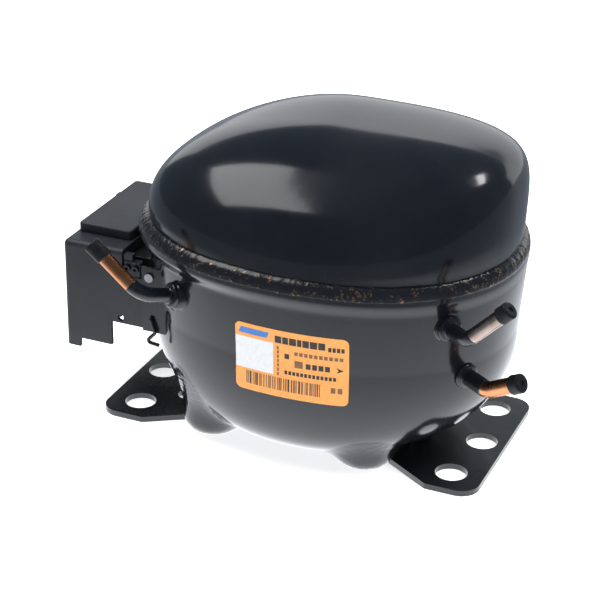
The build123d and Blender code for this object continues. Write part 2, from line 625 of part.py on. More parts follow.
def suction_muffler():
    body = fillet(box(42, 70, -45, -24, DECK_HIGH + 0.5, 130).edges(), 4.0)
    neck = rod(3.9, (HEAD_X + 6, -30, BORE_Z), (HEAD_X + 6, -20, BORE_Z))
    elbow = fillet(box(60, HEAD_X + 11, -34, -26, 119, 129).edges().filter_by(Axis.Y), 3.0)
    return body + elbow + neck


def discharge_muffler_cover():
    cover = rod(11, (44, 33, DECK_HIGH + 14), (44, 33, DECK_HIGH + 18))
    return fillet(cover.edges().sort_by(Axis.Z)[-1], 1.5)


SHOCK_ROUTE = [(33.0, 36.8, 112), (24, 40, 112), (4, 58, 110), (-30, 60, 97), (-62, 38, 94), (-73, 2, 92),
               (-69, -32, 89), (-54, -47.5, 86), (-43.8, -53.8, 80.1), (-47.3, -58.5, 81.5)]


def shock_loop_tube():
    """Bent discharge pipe from the muffler to the shell, long enough to flex with the pump."""
    path = FilletPolyline(*[Vector(*p) for p in SHOCK_ROUTE], radius=4.0)
    start = Plane(origin=SHOCK_ROUTE[0], z_dir=Vector(*SHOCK_ROUTE[1]) - Vector(*SHOCK_ROUTE[0]))
    return sweep(start * Circle(2.4), path=path)


# ---------------------------------------------------------------- suspension
def suspension_springs():
    height = SPRING_HIGH - SPRING_LOW - SPRING_WIRE
    coil = Helix(pitch=height / SPRING_TURNS, height=height, radius=SPRING_R)
    wire = sweep(Plane(origin=coil @ 0, z_dir=coil % 0) * Circle(SPRING_WIRE / 2), path=coil, is_frenet=True)
    return [Pos(x, y, SPRING_LOW + SPRING_WIRE / 2) * wire for x, y in four(SPRING_DX, SPRING_DY)]


def spring_seats():
    """Plastic stubs in the shell's bumps that centre the springs."""
    seats = []
    for x, y in four(SPRING_DX, SPRING_DY):
        stub = rod(5.4, (x, y, BUMP_LOW + STEEL_T), (x, y, 16))
        foot = rod(6.3, (x, y, BUMP_LOW + STEEL_T), (x, y, SPRING_LOW))
        flange = rod(9.0, (x, y, SPRING_LOW - 1), (x, y, SPRING_LOW))
        seats.append(fillet(stub.edges().sort_by(Axis.Z)[-1], 2.0) + foot + flange)
    return seats


def spring_caps():
    caps = []
    for x, y in four(SPRING_DX, SPRING_DY):
        body = rod(9.0, (x, y, SPRING_HIGH), (x, y, STACK_LOW)) + rod(5.4, (x, y, 29), (x, y, SPRING_HIGH))
        caps.append(body - rod(4.3, (x, y, 39.9), (x, y, STACK_LOW + 1)))
    return caps


def main():
    os.makedirs("parts", exist_ok=True)
    export("upper_shell", upper_shell())
    export("lower_shell", lower_shell())
    export("weld_bead", weld_bead())
    export("foot_plate_left", foot_plate(-1))
    export("foot_plate_right", foot_plate(1))
    for name in TUBES:
        export(f"{name}_tube", tube(name))
        export(f"{name}_boss", tube_boss(name))
        export(f"{name}_rubber_cap", rubber_cap(name))
    makers = [foot_welds, rating_label, terminal_body, terminal_pins, terminal_fence, box_housing, box_lid,
              ptc_starter, overload_protector, cable_clamp, clamp_screws, clip_bracket, wire_clip, earth_screw,
              inner_connector, lead_wires, stator_stack, stator_winding, stator_bolts, rotor_core,
              rotor_cage, crankshaft, oil_way_plug, counterweight, oil_pickup_tube, slider_block,
              yoke_tube, yoke_end_plugs, piston, crankcase, main_bearing_bush, suction_leaf,
              suction_reed, valve_plate, discharge_reed, reed_stop, head_gasket, cylinder_head,
              head_bolts, suction_muffler, discharge_muffler_cover, shock_loop_tube,
              suspension_springs, spring_seats, spring_caps]
    for maker in makers:
        export(maker.__name__, maker())


main()
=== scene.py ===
import json
import math
import random

import bpy
import bmesh
import numpy as np
from mathutils import Matrix, Vector


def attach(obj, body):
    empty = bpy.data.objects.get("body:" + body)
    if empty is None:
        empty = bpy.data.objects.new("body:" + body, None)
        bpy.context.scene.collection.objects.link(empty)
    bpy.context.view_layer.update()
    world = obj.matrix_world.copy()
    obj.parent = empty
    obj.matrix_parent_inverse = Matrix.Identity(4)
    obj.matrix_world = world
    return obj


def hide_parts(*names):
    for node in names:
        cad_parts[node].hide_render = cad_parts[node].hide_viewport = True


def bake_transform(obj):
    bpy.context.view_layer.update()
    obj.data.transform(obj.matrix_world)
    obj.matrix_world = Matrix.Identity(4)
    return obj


# Looks of a hermetic reciprocating compressor. Metres, in the frame of the CAD model: the origin is
# the centre of the foot holes on the underside of the plates, +X towards the suction tube, +Z up.

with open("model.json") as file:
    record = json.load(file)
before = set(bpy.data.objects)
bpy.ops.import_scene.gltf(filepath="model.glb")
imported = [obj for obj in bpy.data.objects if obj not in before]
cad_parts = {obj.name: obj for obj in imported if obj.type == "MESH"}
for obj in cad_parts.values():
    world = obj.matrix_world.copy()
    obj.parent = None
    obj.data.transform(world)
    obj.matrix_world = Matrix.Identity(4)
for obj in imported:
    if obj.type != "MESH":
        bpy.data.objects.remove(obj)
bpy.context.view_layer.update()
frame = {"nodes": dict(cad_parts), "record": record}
MM = 0.001

# ---------------------------------------------------------------- dimensions shared with the CAD
STEEL_T = 3.0
SHELL_X, SHELL_Y = 5.5, 0.5
PLAN_N = 2.2
BOWL_X, BOWL_N = 7.6, 2.15
BOWL_A, BOWL_B = 95.0, 76.5
BOWL_TOP, BOWL_TURN, BOWL_BOTTOM = 94.5, 63.6, 3.0
BOWL_TAPER = 2.1
BOWL_ROUND_X, BOWL_ROUND_Y = 2.6, 3.57
COLLAR_A, COLLAR_B, COLLAR_LOW = 97.5, 78.5, 101.0
RIM_Z = 105.0
CAP_X = 6.5
CAP_A, CAP_B = 93.3, 74.5
CAP_LOW, CAP_TURN, CAP_TOP = 101.5, 111.0, 159.0
CAP_LEFT, CAP_RIGHT, CAP_FRONT, CAP_BACK = 2.1, 6.0, 2.0, 3.7
CAP_PLAN_TOP = 2.7
BEAD_TOP = 110.5
SPRING_X, BUMP_X, BUMP_Y = 1.0, 40.7, 41.2
BUMP_R, BUMP_ROUND, BUMP_LOW = 15.7, 9.1, 2.0
BOSS_R, BOSS_EDGE = 6.4, 1.5
TUBE_INSIDE = 6.0                  # how far each tube reaches in from its boss centre
TUBE_R = {"discharge": 3.5, "process": 3.5, "suction": 4.0}
TUBE_WALL = 0.8
BEND_R = {"discharge": 16.0, "process": 9.0, "suction": 9.0}
RUBBER_LEN = {"discharge": 9.5, "process": 6.8, "suction": 5.8}
RUBBER_T, RUBBER_TIP, RUBBER_EDGE = 0.75, 1.6, 1.1
ENAMEL_T = 0.16
COPPER_FROM = {"discharge": 7.2, "process": 4.7, "suction": -1.2}   # from the bend, towards the end
TUBES = {
    "discharge": ((-51.0, -63.3, 83.0), (-61.3, -77.2, 87.1), (-85.2, -78.9, 109.0)),
    "process": ((83.2, -47.8, 87.1), (95.1, -56.9, 87.4), (114.4, -59.1, 107.4)),
    "suction": ((89.0, -36.4, 58.5), (103.4, -45.2, 57.7), (119.5, -49.5, 67.1)),
}


# ---------------------------------------------------------------- node materials
class Nodes:
    """A material's node tree, with short calls for the few node kinds used here."""

    def __init__(self, name, **sockets):
        self.material = bpy.data.materials.new(name)
        self.material.use_nodes = True
        self.tree = self.material.node_tree
        self.shader = self.tree.nodes["Principled BSDF"]
        for key, value in sockets.items():
            socket = self.shader.inputs[key.replace("_", " ")]
            socket.default_value = (*value, 1.0) if isinstance(value, tuple) else value
        self.place = self.node("ShaderNodeTexCoord").outputs["Object"]

    def node(self, kind, **settings):
        made = self.tree.nodes.new(kind)
        for key, value in settings.items():
            setattr(made, key, value)
        return made

    def link(self, out, to):
        self.tree.links.new(out, to)

    def noise(self, scale, detail=3.0, rough=0.5, stretch=None):
        made = self.node("ShaderNodeTexNoise")
        made.inputs["Scale"].default_value = scale
        made.inputs["Detail"].default_value = detail
        made.inputs["Roughness"].default_value = rough
        source = self.place
        if stretch:
            mapping = self.node("ShaderNodeMapping")
            mapping.inputs["Scale"].default_value = stretch
            self.link(source, mapping.inputs["Vector"])
            source = mapping.outputs["Vector"]
        self.link(source, made.inputs["Vector"])
        return made.outputs["Fac"]

    def spread(self, value, low, high, to_low, to_high):
        made = self.node("ShaderNodeMapRange", clamp=True)
        self.link(value, made.inputs["Value"])
        for key, number in (("From Min", low), ("From Max", high), ("To Min", to_low), ("To Max", to_high)):
            made.inputs[key].default_value = number
        return made.outputs["Result"]

    def share(self, value, low, high):
        """0 below low, 1 above high, even in between."""
        return self.spread(value, low, high, 0.0, 1.0)

    def mix(self, factor, first, second):
        made = self.node("ShaderNodeMix", data_type="RGBA")
        self.link(factor, made.inputs["Factor"])
        for socket, value in ((made.inputs["A"], first), (made.inputs["B"], second)):
            if isinstance(value, tuple):
                socket.default_value = (*value, 1.0)
            else:
                self.link(value, socket)
        return made.outputs["Result"]

    def math(self, operation, first, second):
        made = self.node("ShaderNodeMath", operation=operation)
        for socket, value in ((made.inputs[0], first), (made.inputs[1], second)):
            if isinstance(value, (int, float)):
                socket.default_value = value
            else:
                self.link(value, socket)
        return made.outputs["Value"]

    def bump(self, height, strength, distance, normal=None):
        made = self.node("ShaderNodeBump")
        made.inputs["Strength"].default_value = strength
        made.inputs["Distance"].default_value = distance
        self.link(height, made.inputs["Height"])
        if normal is not None:
            self.link(normal, made.inputs["Normal"])
        return made.outputs["Normal"]

    def set(self, socket, value):
        self.link(value, self.shader.inputs[socket])


def black_enamel(name, rough=(0.11, 0.2), peel=0.05, dust=0.3, base=(0.003, 0.004, 0.0065)):
    """Gloss baked enamel: faint orange peel, soft dulling and a little grey dust."""
    m = Nodes(name, Metallic=0.0, IOR=1.5, Coat_Weight=0.35, Coat_Roughness=0.08)
    broad = m.noise(18.0, 4.0, 0.55)
    fine = m.noise(900.0, 2.0, 0.6)
    speck = m.noise(2600.0, 1.0, 0.4)
    lifted = tuple(c + 0.004 for c in base)
    colour = m.mix(m.share(broad, 0.35, 0.75), base, lifted)
    dusty = m.spread(speck, 0.70, 0.78, 0.0, dust)
    m.set("Base Color", m.mix(dusty, colour, (0.10, 0.10, 0.11)))
    m.set("Roughness", m.spread(m.math("ADD", broad, m.math("MULTIPLY", fine, 0.35)), 0.4, 0.95, *rough))
    m.set("Normal", m.bump(fine, peel, 0.0002, m.bump(m.noise(140.0, 2.0), peel * 1.6, 0.0004)))
    return m.material


def weld_enamel(name):
    """Gloss enamel over weld metal; the metal shows golden brown in small worn spots."""
    m = Nodes(name, IOR=1.5, Coat_Weight=0.4, Coat_Roughness=0.08)
    patches = m.noise(260.0, 4.0, 0.6)
    fine = m.noise(900.0, 3.0, 0.6)
    worn = m.share(m.math("MULTIPLY", patches, fine), 0.335, 0.37)
    m.set("Base Color", m.mix(worn, (0.007, 0.007, 0.009), (0.42, 0.25, 0.12)))
    m.set("Metallic", worn)
    m.set("Roughness", m.spread(patches, 0.35, 0.7, 0.10, 0.3))
    m.set("Normal", m.bump(fine, 0.18, 0.0004, m.bump(patches, 0.4, 0.0012)))
    return m.material


def moulded_plastic(name, base, light, rough=(0.42, 0.6)):
    """Spark-eroded moulding texture with slight clouding."""
    m = Nodes(name, Metallic=0.0, IOR=1.48)
    cloud = m.noise(35.0, 4.0, 0.6)
    texture = m.noise(2400.0, 3.0, 0.6)
    m.set("Base Color", m.mix(m.share(cloud, 0.3, 0.75), base, light))
    m.set("Roughness", m.spread(texture, 0.3, 0.7, *rough))
    m.set("Normal", m.bump(texture, 0.25, 0.0002, m.bump(cloud, 0.06, 0.002)))
    return m.material


def metal(name, base, light, rough=(0.25, 0.42), grain=700.0, stretch=(1, 1, 12), relief=0.12):
    """Drawn, rolled or machined metal with a directional grain and uneven polish."""
    m = Nodes(name, Metallic=1.0)
    lines = m.noise(grain, 2.0, 0.6, stretch)
    cloud = m.noise(60.0, 4.0, 0.6)
    m.set("Base Color", m.mix(m.share(cloud, 0.3, 0.75), base, light))
    m.set("Roughness", m.spread(m.math("ADD", lines, cloud), 0.6, 1.4, *rough))
    m.set("Normal", m.bump(lines, relief, 0.0002))
    return m.material


def soft_rubber(name):
    """Matt moulded rubber with a fine skin."""
    m = Nodes(name, Metallic=0.0, IOR=1.4)
    cloud = m.noise(300.0, 4.0, 0.6)
    fine = m.noise(3500.0, 2.0, 0.6)
    dark, worn = (0.004, 0.004, 0.005), (0.011, 0.011, 0.012)
    m.set("Base Color", m.mix(m.share(cloud, 0.35, 0.75), dark, worn))
    m.set("Roughness", m.spread(fine, 0.3, 0.7, 0.36, 0.52))
    m.set("Normal", m.bump(fine, 0.2, 0.0002))
    return m.material


def print_film(name, base, light):
    """Printed label film: fine paper-like tooth, slight ink mottling."""
    m = Nodes(name, Metallic=0.0, IOR=1.46)
    mottle = m.noise(500.0, 4.0, 0.6)
    tooth = m.noise(4000.0, 2.0, 0.5)
    m.set("Base Color", m.mix(m.share(mottle, 0.3, 0.7), base, light))
    m.set("Roughness", m.spread(mottle, 0.3, 0.7, 0.38, 0.5))
    m.set("Normal", m.bump(tooth, 0.05, 0.0001))
    return m.material


COPPER_GRAIN = (900.0, (1, 1, 1), 0.10)        # scale, stretch and relief
SLOT_MATERIALS = {
    "black_enamel": black_enamel("black_enamel"),
    "weld_metal": weld_enamel("weld_enamel"),
    "plate_enamel": black_enamel("plate_enamel", (0.22, 0.38), 0.09, 0.5, (0.007, 0.008, 0.010)),
    "copper_tube": metal("copper", (0.55, 0.19, 0.08), (0.92, 0.42, 0.20), (0.16, 0.32), *COPPER_GRAIN),
    "stopper_rubber": soft_rubber("stopper_rubber"),
    "label_film": print_film("label_orange", (0.76, 0.30, 0.055), (0.84, 0.36, 0.08)),
    "box_plastic": moulded_plastic("box_plastic", (0.013, 0.0145, 0.018), (0.021, 0.023, 0.028),
                                   (0.34, 0.5)),
    "bare_steel": metal("bare_steel", (0.42, 0.42, 0.43), (0.58, 0.58, 0.59)),
    "spring_steel": metal("spring_steel", (0.030, 0.031, 0.034), (0.065, 0.066, 0.07), (0.22, 0.36)),
    "lamination": metal("lamination", (0.16, 0.17, 0.20), (0.26, 0.27, 0.29), (0.35, 0.5),
                        1600.0, (1, 1, 14), 0.5),
    "enamelled_wire": metal("enamelled_wire", (0.45, 0.15, 0.05), (0.66, 0.27, 0.10), (0.2, 0.35),
                            1300.0, (1, 1, 6), 0.6),
    "cast_grey_iron": metal("grey_iron", (0.15, 0.15, 0.155), (0.24, 0.24, 0.24), (0.4, 0.6),
                            1500.0, (1, 1, 1), 0.4),
    "cast_aluminium": metal("cast_aluminium", (0.52, 0.53, 0.54), (0.66, 0.66, 0.67), (0.35, 0.5),
                            1500.0, (1, 1, 1), 0.35),
    "bronze": metal("bearing_bronze", (0.50, 0.34, 0.14), (0.64, 0.46, 0.22), (0.25, 0.4)),
    "moulded_polymer": moulded_plastic("pale_polymer", (0.55, 0.52, 0.44), (0.68, 0.65, 0.57)),
    "ceramic_case": moulded_plastic("starter_case", (0.05, 0.05, 0.055), (0.09, 0.09, 0.095)),
    "wire_insulation": moulded_plastic("wire_insulation", (0.36, 0.03, 0.03), (0.48, 0.06, 0.05), (0.3, 0.45)),
    "gasket_sheet": moulded_plastic("gasket_sheet", (0.06, 0.10, 0.06), (0.10, 0.15, 0.10), (0.6, 0.8)),
}
TINNED = metal("tinned_copper", (0.34, 0.20, 0.14), (0.60, 0.52, 0.47), (0.18, 0.34), *COPPER_GRAIN)
INK = print_film("label_ink", (0.020, 0.018, 0.018), (0.045, 0.035, 0.03))
FADED_INK = print_film("label_faded_ink", (0.16, 0.07, 0.03), (0.24, 0.11, 0.05))
BLUE_INK = print_film("label_blue", (0.03, 0.14, 0.48), (0.05, 0.20, 0.58))
PALE_PANEL = print_film("label_panel", (0.62, 0.63, 0.65), (0.70, 0.71, 0.72))

for entry in frame["record"]["subparts"]:
    cad_node = frame["nodes"][entry["node"]]
    cad_node.data.materials.clear()
    cad_node.data.materials.append(SLOT_MATERIALS[entry["material_slot"]])
for dark_node in ("clamp_screws", "wire_clip"):
    frame["nodes"][dark_node].data.materials[0] = SLOT_MATERIALS["spring_steel"]
BODY_OF = {n: body for body, members in frame["record"]["behaviour"]["bodies"].items() for n in members}


# ---------------------------------------------------------------- mesh helpers
def new_piece(name, vertices, faces, material, sharp=35.0):
    """A mesh object in metres from millimetre vertices, smooth-shaded with sharp creases."""
    mesh = bpy.data.meshes.new(name)
    mesh.from_pydata([tuple(float(c) * MM for c in v) for v in vertices], [], faces)
    mesh.materials.append(material)
    mesh.polygons.foreach_set("use_smooth", [True] * len(mesh.polygons))
    mesh.validate()
    solid = bmesh.new()
    solid.from_mesh(mesh)
    bmesh.ops.recalc_face_normals(solid, faces=solid.faces)
    solid.to_mesh(mesh)
    solid.free()
    mesh.set_sharp_from_angle(angle=math.radians(sharp))
    made = bpy.data.objects.new(name, mesh)
    bpy.context.scene.collection.objects.link(made)
    return made


def stand_for(piece, node):
    """The piece takes a CAD node's body, and the CAD node is hidden."""
    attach(piece, BODY_OF[node])
    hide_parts(node)


def rings_to_faces(count, ring_size, loop):
    """Quads between successive rings; loop joins the last ring to the first."""
    faces = []
    for r in range(count if loop else count - 1):
        a, b = r * ring_size, ((r + 1) % count) * ring_size
        for i in range(ring_size):
            j = (i + 1) % ring_size
            faces.append((a + i, a + j, b + j, b + i))
    return faces


def skin(name, rings, material, sharp=35.0, loop=False, poles=False):
    """A tube-like or closed body through equal rings; poles closes both ends with a fan."""
    size = len(rings[0])
    vertices = [tuple(p) for ring in rings for p in ring]
    faces = rings_to_faces(len(rings), size, loop)
    if poles:
        for k, edge in ((0, 0), (len(rings) - 1, (len(rings) - 1) * size)):
            centre = len(vertices)
            vertices.append(tuple(np.mean(rings[k], axis=0)))
            faces += [(edge + i, edge + (i + 1) % size, centre) for i in range(size)]
    return new_piece(name, vertices, faces, material, sharp)


BEVEL_SEGMENTS, BEVEL_ANGLE, FLAT_FACE_WEIGHT = 2, 28.0, 80


def softened(node, width):
    """A copy of a CAD node with its edges broken, as pressing or moulding leaves them."""
    source = frame["nodes"][node]
    made = bpy.data.objects.new(node + "_soft", source.data.copy())
    bpy.context.scene.collection.objects.link(made)
    solid = bmesh.new()
    solid.from_mesh(made.data)
    bmesh.ops.remove_doubles(solid, verts=solid.verts, dist=1e-6)
    if not node.startswith("foot_plate"):
        bmesh.ops.dissolve_limit(solid, angle_limit=math.radians(1.0), verts=solid.verts, edges=solid.edges)
    solid.to_mesh(made.data)
    solid.free()
    made.data.polygons.foreach_set("use_smooth", [True] * len(made.data.polygons))
    bevel = made.modifiers.new("edge", "BEVEL")
    bevel.width = width * MM
    bevel.segments = BEVEL_SEGMENTS
    bevel.limit_method = "ANGLE"
    bevel.angle_limit = math.radians(BEVEL_ANGLE)
    even = made.modifiers.new("even", "WEIGHTED_NORMAL")
    even.weight = FLAT_FACE_WEIGHT
    even.keep_sharp = True
    bpy.context.view_layer.update()
    evaluated = made.evaluated_get(bpy.context.evaluated_depsgraph_get())
    final = bpy.data.meshes.new_from_object(evaluated)
    made.modifiers.clear()
    made.data = final
    stand_for(made, node)


# ---------------------------------------------------------------- shell surfaces
def oval(cx, z, left, right, front, back, n, count):
    """Closed superellipse ring with its own reach on each side."""
    t = 2 * np.pi * np.arange(count) / count
    c, s = np.cos(t), np.sin(t)
    across = np.sign(c) * np.abs(c) ** (2 / n)
    along = np.sign(s) * np.abs(s) ** (2 / n)
    x = cx + np.where(across > 0, right, left) * across
    y = SHELL_Y + np.where(along > 0, back, front) * along
    return np.stack([x, y, np.full(count, z)], 1)


def fall(h, power):
    """Falls from 1 to 0 along a superellipse as h goes from 0 to 1."""
    return max(1 - h ** power, 0.0) ** (1 / power)


def cap_rings(inset, count, steps):
    """Rings up the cap: a short straight wall, then the uneven dome."""
    a, b = CAP_A - inset, CAP_B - inset
    rise = CAP_TOP - inset - CAP_TURN
    straight = np.linspace(CAP_LOW, CAP_TURN - 1.5, 8)
    rings = [oval(CAP_X, z, a, a, b, b, PLAN_N, count) for z in straight]
    for k in range(1, steps):
        h = math.sin(k / steps * math.pi / 2)
        n = PLAN_N + (CAP_PLAN_TOP - PLAN_N) * h
        rings.append(oval(CAP_X, CAP_TURN + rise * h, a * fall(h, CAP_LEFT), a * fall(h, CAP_RIGHT),
                          b * fall(h, CAP_FRONT), b * fall(h, CAP_BACK), n, count))
    return rings


def upper_shell():
    """The cap's outer and inner skins, closed at the rim."""
    count = 288
    outer = cap_rings(0.0, count, 96)
    inner = cap_rings(STEEL_T, count, 32)
    cap = skin("upper_shell_skin", outer[::-1] + inner, SLOT_MATERIALS["black_enamel"], 50.0, poles=True)
    stand_for(cap, "upper_shell")


def bowl_reach(z):
    """Half length and half width of the lower shell's outside at a height."""
    if z >= BOWL_TURN:
        t = min((z - BOWL_TURN) / (BOWL_TOP - BOWL_TURN), 1.0)
        taper = BOWL_TAPER * (1 - t)
        return BOWL_A - taper, BOWL_B - taper
    h = min((BOWL_TURN - z) / (BOWL_TURN - BOWL_BOTTOM), 1.0)
    return (BOWL_A - BOWL_TAPER) * fall(h, BOWL_ROUND_X), (BOWL_B - BOWL_TAPER) * fall(h, BOWL_ROUND_Y)


def bump_distance(p, x, y):
    """Distance to the upright post with a rounded foot that stands at x and y."""
    radial = np.hypot(p[:, 0] - x, p[:, 1] - y) - (BUMP_R - BUMP_ROUND)
    below = (BUMP_LOW + BUMP_ROUND) - p[:, 2]
    outside = np.hypot(np.maximum(radial, 0), np.maximum(below, 0))
    return outside + np.minimum(np.maximum(radial, below), 0) - BUMP_ROUND


BUMP_FILLET, BUMP_REACH, BUMP_SLICES = 7.3, 22.0, 88


def with_bumps(rings):
    """Pushes the bowl out to its four spring bumps, with a smooth fillet where they meet."""
    grid = np.array(rings)
    step_down = np.gradient(grid, axis=0)
    step_round = np.roll(grid, -1, 1) - np.roll(grid, 1, 1)
    normal = np.cross(step_down, step_round)
    length = np.linalg.norm(normal, axis=2, keepdims=True)
    normal = normal / np.maximum(length, 1e-9)
    outwards = grid - np.array([BOWL_X, SHELL_Y, 60.0])
    normal *= np.sign((normal * outwards).sum(2, keepdims=True))
    points, normals = grid.reshape(-1, 3), normal.reshape(-1, 3)
    shift = np.zeros(len(points))
    for sx in (-1, 1):
        for sy in (-1, 1):
            x, y = SPRING_X + sx * BUMP_X, sy * BUMP_Y
            found = np.zeros(len(points), bool)
            for s in np.linspace(BUMP_REACH, 0, BUMP_SLICES):
                post = bump_distance(points + normals * s, x, y)
                blend = np.clip(0.5 + 0.5 * (post - s) / BUMP_FILLET, 0, 1)
                union = post * (1 - blend) + s * blend - BUMP_FILLET * blend * (1 - blend)
                now = (union <= 0) & ~found
                shift[now] = np.maximum(shift[now], s)
                found |= now
    moved = points + normals * shift[:, None]
    moved[:, 2] = np.maximum(moved[:, 2], BUMP_LOW)
    return list(moved.reshape(grid.shape))


def bowl_oval(z, inset, count):
    a, b = bowl_reach(z)
    return oval(BOWL_X, z, a - inset, a - inset, b - inset, b - inset, BOWL_N, count)


def collar_oval(z, inset, count):
    a, b = COLLAR_A - inset, COLLAR_B - inset
    return oval(SHELL_X, z, a, a, b, b, PLAN_N, count)


RIM_EDGE = 0.7                     # rounding of the rim's outer edge
FLARE_CURVE = 0.6                  # 0 is a straight flare, 1 a full S


def lower_shell():
    """The bowl with its bumps, the flare up to the collar, and an inner skin."""
    count, upright, round_ = 360, 20, 110
    heights = [BOWL_TURN + (BOWL_TOP - BOWL_TURN) * (1 - k / upright) for k in range(upright + 1)]
    depth = BOWL_TURN - BOWL_BOTTOM
    heights += [BOWL_TURN - depth * math.sin(k / round_ * math.pi / 2) for k in range(1, round_)]
    wall = with_bumps([bowl_oval(z, 0.0, count) for z in heights])
    rim = [collar_oval(RIM_Z, RIM_EDGE, count), collar_oval(RIM_Z - RIM_EDGE, 0.0, count)]
    rim += [collar_oval(z, 0.0, count) for z in np.linspace(RIM_Z - 1.4, COLLAR_LOW + 0.6, 4)]
    flare_low, flare_high = bowl_oval(BOWL_TOP, 0.0, count), collar_oval(COLLAR_LOW, 0.0, count)
    for f in np.linspace(1.0, 0.06, 14):
        out = f * f * (3 - 2 * f) * FLARE_CURVE + f * (1 - FLARE_CURVE)
        ring = flare_low * (1 - out) + flare_high * out
        ring[:, 2] = BOWL_TOP + (COLLAR_LOW - BOWL_TOP) * f
        rim.append(ring)
    inner = [collar_oval(RIM_Z, STEEL_T, count), collar_oval(COLLAR_LOW + 1, STEEL_T, count)]
    for z in heights[0::6]:
        ring = bowl_oval(z, STEEL_T, count)
        ring[:, 2] = np.maximum(ring[:, 2], BOWL_BOTTOM + STEEL_T)
        inner.append(ring)
    rings = wall[::-1] + rim[::-1] + inner
    bowl = skin("lower_shell_skin", rings, SLOT_MATERIALS["black_enamel"], 50.0, poles=True)
    stand_for(bowl, "lower_shell")


BEAD_SWELL, BEAD_WANDER, BEAD_RIPPLE = 1.45, 0.28, 0.09
BEAD_EDGE_WANDER = 0.55            # how far the bead's edges stray up and down


def weld_bead():
    """Lumpy, wandering fillet weld under enamel that runs round the collar's rim."""
    count, across = 1500, 26
    t = 2 * np.pi * np.arange(count) / count
    rng = random.Random(7)
    waves = [(k, rng.uniform(0, 6.28), rng.uniform(0.5, 1.0)) for k in (3, 5, 8, 13, 21, 34, 55, 89, 144)]
    # wander shifts the upper edge and the swell, wander_low the lower edge; patchy makes ripple come and go
    wander = sum(w * np.sin(k * t + p) / (1 + 0.04 * k) for k, p, w in waves) / 4.0
    wander_low = sum(w * np.sin((k + 1) * t + 2.3 * p) / (1 + 0.04 * k) for k, p, w in waves) / 4.0
    patchy = 0.5 + 0.5 * np.sin(17 * t + 4.0 * wander_low)
    ripple = np.sin(150 * t + 14.0 * wander) * patchy + 0.7 * np.sin(83 * t + 9.0 * wander_low)
    low = oval(SHELL_X, 0, COLLAR_A, COLLAR_A, COLLAR_B, COLLAR_B, PLAN_N, count)
    high = oval(CAP_X, 0, CAP_A, CAP_A, CAP_B, CAP_B, PLAN_N, count)
    outward = low - np.array([SHELL_X, SHELL_Y, 0])
    outward /= np.linalg.norm(outward, axis=1, keepdims=True)
    up = np.array([0, 0, 1.0])
    z_low = RIM_Z - 1.6 + BEAD_EDGE_WANDER * wander_low
    z_high = BEAD_TOP - 0.6 + BEAD_EDGE_WANDER * wander
    foot = low + outward * 0.12 + z_low[:, None] * up
    top = high + z_high[:, None] * up
    lines = []
    for k in range(across):
        f = k / (across - 1)
        bulge = math.sin(math.pi * f) ** 0.75
        swell = bulge * (BEAD_SWELL + BEAD_WANDER * wander + BEAD_RIPPLE * ripple * math.sin(math.pi * f))
        tilt = outward * 0.72 + up * 0.69
        lines.append(foot * (1 - f) + top * f + tilt * swell[:, None])
    lines.append(high - outward * 1.0 + up * (BEAD_TOP - 2.0))
    lines.append(low - outward * 1.6 + up * (RIM_Z - 0.8))
    bead = skin("weld_bead_rippled", lines, SLOT_MATERIALS["weld_metal"], 60.0, loop=True)
    stand_for(bead, "weld_bead")


# ---------------------------------------------------------------- tubes
def unit(v):
    """The direction of v, one long."""
    v = np.array(v, float)
    return v / np.linalg.norm(v)


FIRST_RUN, ARC_STEPS, SECOND_RUN = 6, 20, 24    # points along a tube
TUBE_SIDES, TURNED_SIDES = 40, 64


def bent_line(boss, bend, end, radius):
    """Two straight runs joined by an arc, from inside the shell to the open end."""
    boss, bend, end = (np.array(p, float) for p in (boss, bend, end))
    first, second = unit(bend - boss), unit(end - bend)
    turn = math.acos(float(first @ second))
    cut = radius * math.tan(turn / 2)
    centre = bend + unit(second - first) * radius / math.cos(turn / 2)
    start = boss - first * TUBE_INSIDE
    run = bend - first * cut - boss + first * TUBE_INSIDE
    points = [start + run * k / FIRST_RUN for k in range(FIRST_RUN)]
    arm = bend - first * cut - centre
    side = unit(first)
    for k in range(ARC_STEPS + 1):
        a = turn * k / ARC_STEPS
        points.append(centre + arm * math.cos(a) + side * radius * math.sin(a))
    for k in range(1, SECOND_RUN + 1):
        points.append(bend + second * cut + (end - bend - second * cut) * k / SECOND_RUN)
    return np.array(points)


def sweep_rings(line, radii):
    """Rings square to a line, carried along it without twist."""
    tangents = np.gradient(line, axis=0)
    tangents /= np.linalg.norm(tangents, axis=1, keepdims=True)
    side = unit(np.cross(tangents[0], [0.3, 0.1, 1.0]))
    t = 2 * np.pi * np.arange(TUBE_SIDES) / TUBE_SIDES
    rings = []
    for p, d, r in zip(line, tangents, radii):
        side = unit(side - d * (side @ d))
        other = np.cross(d, side)
        rings.append(p + r * (np.outer(np.cos(t), side) + np.outer(np.sin(t), other)))
    return rings


def tube(name):
    """Copper stub, enamelled from the shell to just past its bend."""
    boss, bend, end = TUBES[name]
    radius = TUBE_R[name]
    line = bent_line(boss, bend, end, BEND_R[name])
    outer = sweep_rings(line, [radius] * len(line))
    inner = sweep_rings(line, [radius - TUBE_WALL] * len(line))
    metal_kind = TINNED if name == "process" else SLOT_MATERIALS["copper_tube"]
    stub = skin(name + "_stub", outer + inner[::-1], metal_kind, 40.0, loop=True)
    stand_for(stub, name + "_tube")
    beyond = (line - np.array(bend)) @ unit(np.subtract(end, bend))
    painted = line[beyond <= COPPER_FROM[name]]
    lift = [ENAMEL_T] * (len(painted) - 1) + [0.05]
    coat = sweep_rings(painted, [radius + d for d in lift])
    under = sweep_rings(painted, [radius - 0.1] * len(painted))
    enamel = skin(name + "_enamel", coat + under[::-1], SLOT_MATERIALS["black_enamel"], 40.0, loop=True)
    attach(enamel, "shell")


